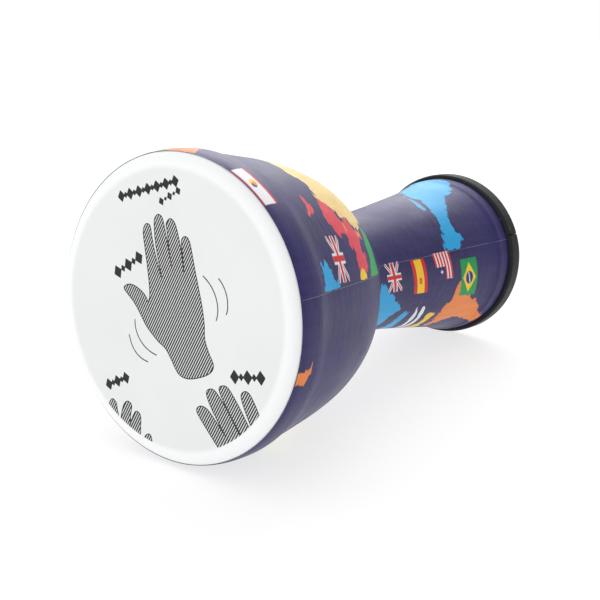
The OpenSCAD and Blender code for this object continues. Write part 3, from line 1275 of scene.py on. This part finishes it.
BOWL_FLAGS = (
    Flag(FlagKind.RIM, -31.2, 295.1, 29.5, 10.8),
    Flag(FlagKind.CROSS, -63.8, 254.2, 27.0, 12.5, 1),
    Flag(FlagKind.DIAMOND, 18.8, 297.0, 26.5, 21.0),
    Flag(FlagKind.BANDS, 52.0, 268.0, 26.0, 19.0),
    Flag(FlagKind.STRIPES, 146.0, 274.0, 26.0, 19.0),
    Flag(FlagKind.CROSS, 112.0, 266.0, 24.0, 19.5),
    Flag(FlagKind.DIAMOND, -154.0, 246.0, 26.5, 20.0),
    Flag(FlagKind.BANDS, 178.0, 214.0, 26.0, 19.0),
    Flag(FlagKind.STRIPES, 82.0, 290.0, 26.0, 18.0),
)
FOOT_SHAPES = (
    Shape(Ink.CYAN, FOOT_ARM),
    Shape(Ink.CYAN, FOOT_FRAY),
    Shape(Ink.CYAN, FOOT_CYAN),
    Shape(Ink.CYAN, FOOT_STROKE),
    Shape(Ink.WHITE, FOOT_WHITES[0]),
    Shape(Ink.WHITE, FOOT_WHITES[1]),
    Shape(Ink.YELLOW, FOOT_YELLOW),
    Shape(Ink.ROSE, FOOT_RED),
    Shape(Ink.ORANGE, FOOT_ORANGE),
    Shape(Ink.CREAM, moved(BOWL_CREAM, 128, -110)),
    Shape(Ink.ROSE, moved(BOWL_ROSE, 134, -118)),
    Shape(Ink.CYAN, moved(FOOT_CYAN, 190, -62)),
    Shape(Ink.ORANGE, moved(FOOT_ORANGE, 170, 66)),
)
FOOT_FLAGS = (
    Flag(FlagKind.CROSS, -83.0, 136.0, 20.5, 14.5, 13),
    Flag(FlagKind.BANDS, -86.8, 108.6, 24.5, 14.2, 14),
    Flag(FlagKind.STRIPES, -80.6, 83.8, 19.5, 17.0, 14),
    Flag(FlagKind.DIAMOND, -94.4, 54.6, 28.5, 17.6, 12),
    Flag(FlagKind.CROSS, 62.0, 112.0, 20.0, 15.0),
    Flag(FlagKind.DIAMOND, 74.0, 74.0, 25.0, 18.0),
    Flag(FlagKind.STRIPES, 150.0, 96.0, 20.0, 18.0),
)

PALM = (
    (7.8, 36.5), (9.4, 33.4), (9.3, 28.8), (6.9, 22.6), (3.8, 19), (1.8, 17.6), (8, 16.9),
    (20.1, 19.1), (32.1, 21.9), (40.5, 23.8), (44.3, 23.3), (46.4, 21.4), (45.3, 18.6),
    (39.1, 16.8), (29.8, 13.7), (18.1, 8.4), (26.5, 11.1), (37.1, 14.2), (46.7, 15.7),
    (50.7, 15.3), (52.9, 12.9), (51.3, 9.7), (44.4, 7.1), (35.1, 4.1), (24.8, 1),
    (32.8, 3.2), (43.4, 5.4), (48.7, 6.6), (51.9, 3.8), (49.7, 0.1), (43.5, -2.7),
    (34.3, -5.7), (23.3, -8.2), (32.1, -6.8), (40.9, -5.3), (43.7, -7.9), (41.8, -11),
    (34.5, -13.7), (26.4, -16.2), (16.1, -19.7), (6.9, -22.7), (-2.4, -24.9),
    (-10.8, -25.9), (-17.5, -29.1), (-23.4, -32.9), (-27.7, -32.1), (-31.7, -26.8),
    (-35.2, -18.2), (-36, -12.5), (-34.8, -8), (-31.7, -4.9), (-26.8, -1.2),
    (-22.1, 3.2), (-19, 9.3), (-12.5, 18.1), (-6, 23.6), (-0.1, 29.1), (4.5, 35.4),
    (6.3, 37.1),
)
# The fingers of two hands that reach in over the rim, each from its tip.
FINGERS = (
    ((-49.3, -25.2), (-52.8, -22.6), (-59.5, -28.6), (-70.6, -40.4), (-76, -46),
     (-70.5, -53.5), (-65.2, -48), (-56.9, -38.7), (-50.2, -30.9)),
    ((-37.9, -31.5), (-41.3, -29.1), (-50.4, -34.6), (-65.5, -47.7), (-69, -51),
     (-63.5, -59), (-60, -55.5), (-46.8, -44.5), (-38.7, -36)),
    ((-34, -40.3), (-36.9, -38), (-45.2, -43.7), (-57.9, -54.6), (-62, -58.5),
     (-57.5, -65), (-53.6, -61.3), (-43, -52.8), (-34.7, -44.8)),
    ((-33.4, -56.3), (-36.3, -53.7), (-42.7, -56.3), (-52, -61.9), (-57, -65),
     (-50, -71.5), (-44.9, -67.4), (-39.1, -63.7), (-34.2, -59.6)),
    ((-61.8, 43.5), (-64.7, 45.7), (-69, 46.5), (-74, 43), (-72, 38), (-67.5, 39),
     (-63.1, 40.4)),
    ((-60.2, 31), (-63.4, 34.1), (-70.6, 35.7), (-78, 36.6), (-79.5, 29.4),
     (-67.4, 28), (-61.8, 27.6)),
    ((-64.5, 23.6), (-67.5, 25.9), (-72.2, 27.4), (-79, 28.6), (-81, 20.6),
     (-71.4, 19.7), (-66.1, 20.3)),
    ((-75.9, 13.6), (-78.4, 16.1), (-84, 17.2), (-85, 10.2), (-77, 10.9)),
)
HANDS = (PALM, *FINGERS)
MOTION_LINES = (
    ((24.1, -22.3), (19.1, -28.9), (12.6, -32.8), (6.8, -34.1), (1.4, -33.3)),
    ((24.7, -33.5), (19.6, -38.2), (14.1, -40.4), (9.3, -40.9), (6.2, -40.2)),
    ((-10.4, 27.5), (-16.8, 26.2), (-22.3, 21.9), (-25.7, 16.6), (-27.6, 9.6)),
    ((-20.2, 31.6), (-25.8, 29.2), (-29.6, 25.5), (-31.9, 21.4), (-33, 16.1)),
)
# Plain ornaments: start, end, number of lozenges and their reach in mm.
ORNAMENTS = (
    ((59, 42), (73, 1.5), 13, 3.6),
    ((60.5, 11), (68, -1), 5, 2.6),
    ((15, 42.5), (26, 26.5), 5, 4.2),
    ((-53.5, 46.5), (-46.5, 33), 5, 3.8),
    ((-27, -48.5), (-23.5, -66.5), 5, 4.2),
)


# ---------------------------------------------------------------------------- scene


@dataclass(frozen=True)
class SoftBox:
    """A soft box: the way to it, its distance and size in metres, its power in watts."""

    name: str
    way: Triple
    distance: float
    size: Point
    power: float

    def build(self, target: Vector) -> None:
        """Hangs the soft box and turns it to the target."""
        light = bpy.data.lights.new(self.name, "AREA")
        light.shape = "RECTANGLE"
        light.size, light.size_y = self.size
        light.energy = self.power
        lamp = bpy.data.objects.new(self.name, light)
        bpy.context.scene.collection.objects.link(lamp)
        place = target + Vector(self.way).normalized() * self.distance
        aim = (target - place).to_track_quat("-Z", "Y").to_matrix().to_4x4()
        lamp.matrix_world = Matrix.Translation(place) @ aim


@dataclass(frozen=True)
class Studio:
    """The pale floor that the drum lies on, the soft lights and the camera."""

    lean: float = math.radians(6.33)
    floor_size: float = 16.0
    paper_glow: float = 0.74
    dim: float = 0.38
    bright: float = 1.1
    bright_side: Triple = (0.45, 0.85, -0.25)
    paper: Triple = (0.28, 0.28, 0.282)
    aim: Triple = (0, 0, 0.16)
    boxes: Sequence[SoftBox] = (
        SoftBox("top_box", (0.72, 0.34, -0.6), 1.15, (1.1, 0.7), 7.5),
        SoftBox("front_box", (0.25, -0.15, 0.94), 1.4, (1.0, 1.0), 4.9),
    )
    lens: float = 75.25
    sensor: float = 36.0
    place: Triple = (0.16805, -0.46192, 0.80971)
    right: Triple = (0.067106, -0.793064, -0.605431)
    up: Triple = (0.972237, 0.188309, -0.138907)

    def build(self) -> None:
        """Adds the floor, world, lights and camera."""
        self._floor()
        self._world()
        for box in self.boxes:
            box.build(Vector(self.aim))
        self._camera()
        bpy.context.scene.view_settings.view_transform = "Standard"

    def _normal(self) -> Vector:
        """The floor's upward direction, for a drum lying on its rim and its foot."""
        return Vector((math.cos(self.lean), 0, math.sin(self.lean)))

    def _floor(self) -> None:
        """A wide pale floor, which touches the bowl's rim and the foot ring."""
        normal = self._normal()
        reach = min(
            (Vector(corner).dot(normal) for corner in self._rests()), default=0.0
        )
        mesh = bpy.data.meshes.new("studio_floor")
        grid = bmesh.new()
        bmesh.ops.create_grid(grid, x_segments=24, y_segments=24, size=self.floor_size / 2)
        grid.to_mesh(mesh)
        grid.free()
        floor = bpy.data.objects.new("studio_floor", mesh)
        bpy.context.scene.collection.objects.link(floor)
        floor.matrix_world = Matrix.Translation(normal * reach) @ (
            normal.to_track_quat("Z", "Y").to_matrix().to_4x4()
        )
        shader = Shader("studio_paper")
        colour = shader.tint(rgba(self.paper), shader.noise(3, 3), 0.99, 1.01)
        shader.finish(colour, 0.9, Specular_IOR_Level=0.1)
        glow = shader.surface.inputs
        glow["Emission Color"].default_value = (1, 1, 1, 1)
        glow["Emission Strength"].default_value = self.paper_glow
        behind = shader.node("NewGeometry", {}).outputs["Backfacing"]
        clear = shader.node("BsdfTransparent", {}).outputs[0]
        joined = shader.node(
            "MixShader", {0: behind, 1: shader.surface.outputs[0], 2: clear}
        )
        shader.tree.links.new(joined.outputs[0], shader.output.inputs["Surface"])
        mesh.materials.append(shader.material)

    def _rests(self) -> list[Triple]:
        """The lowest points of the lying drum: on the bowl's band and the foot."""
        band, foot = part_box("bowl_wrap"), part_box("foot_ring")
        skirt_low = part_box("drumhead")[0].z
        return [
            (band[0].x, 0, band[1].z - 0.002),
            (band[0].x, 0, skirt_low),
            (foot[0].x, 0, foot[0].z + 0.001),
        ]

    def _world(self) -> None:
        """A pale surround that is brighter over and behind the drum."""
        world = bpy.data.worlds.new("studio_world")
        world.use_nodes = True
        tree = world.node_tree
        place = tree.nodes.new("ShaderNodeTexCoord").outputs["Generated"]
        along = tree.nodes.new("ShaderNodeVectorMath")
        along.operation = "DOT_PRODUCT"
        along.inputs[1].default_value = Vector(self.bright_side).normalized()
        level = tree.nodes.new("ShaderNodeMapRange")
        level.interpolation_type = "SMOOTHSTEP"
        for index, value in enumerate((-0.5, 0.6, self.dim, self.bright), 1):
            level.inputs[index].default_value = value
        tree.links.new(place, along.inputs[0])
        tree.links.new(along.outputs["Value"], level.inputs[0])
        surround = tree.nodes["Background"]
        surround.inputs["Color"].default_value = (1, 1, 1, 1)
        tree.links.new(level.outputs[0], surround.inputs["Strength"])
        bpy.context.scene.world = world

    def _camera(self) -> None:
        """The camera, which looks down on the lying drum's head."""
        data = bpy.data.cameras.new("camera")
        data.lens, data.sensor_width = self.lens, self.sensor
        data.clip_start, data.clip_end = 0.05, 30
        camera = bpy.data.objects.new("camera", data)
        bpy.context.scene.collection.objects.link(camera)
        right, up = Vector(self.right), Vector(self.up)
        back = right.cross(up)
        turned = Matrix((right, up, back)).transposed().to_4x4()
        camera.matrix_world = Matrix.Translation(self.place) @ turned
        bpy.context.scene.camera = camera


def drum_pieces() -> list:
    """The drum's pieces, from the inside outwards."""
    fibre = MouldedFinish(srgb(58, 52, 48), srgb(96, 88, 78), 0.62, 0.2)
    tube = MouldedFinish(srgb(70, 70, 72), srgb(104, 104, 104), 0.5, 3.0)
    band = MouldedFinish(srgb(120, 122, 126), srgb(150, 150, 152), 0.42, 4.0)
    return [
        PlainPiece("throat_sleeve", "sleeve_tube", "sleeve", tube),
        PlainPiece("bowl_shell", "bowl_moulding", "shell", fibre),
        PlainPiece("pedestal_shell", "pedestal_moulding", "shell", fibre),
        PlainPiece("head_hoop", "tension_hoop", "hoop", band),
        Drumhead(hands=HANDS, lines=MOTION_LINES, ornaments=ORNAMENTS),
        Cover(
            "bowl_wrap", "printed_bowl_cover", "bowl_cover", -74.0, 3.4,
            shapes=BOWL_SHAPES, flags=BOWL_FLAGS,
        ),
        Cover(
            "pedestal_wrap", "printed_pedestal_cover", "pedestal_cover", -69.6, 0.0,
            columns=440, ridge_height=22.0, shapes=FOOT_SHAPES, flags=FOOT_FLAGS,
        ),
        FootRing(),
    ]


def main() -> None:
    """Builds the drum's pieces in order, then the studio round them."""
    logging.basicConfig(level=logging.INFO, format="%(message)s")
    for piece in drum_pieces():
        piece.build()
        LOG.info("built %s for CAD node %s", piece.name, piece.node)
    Studio().build()
    LOG.info("built the studio")


if __name__ == "__main__":
    main()
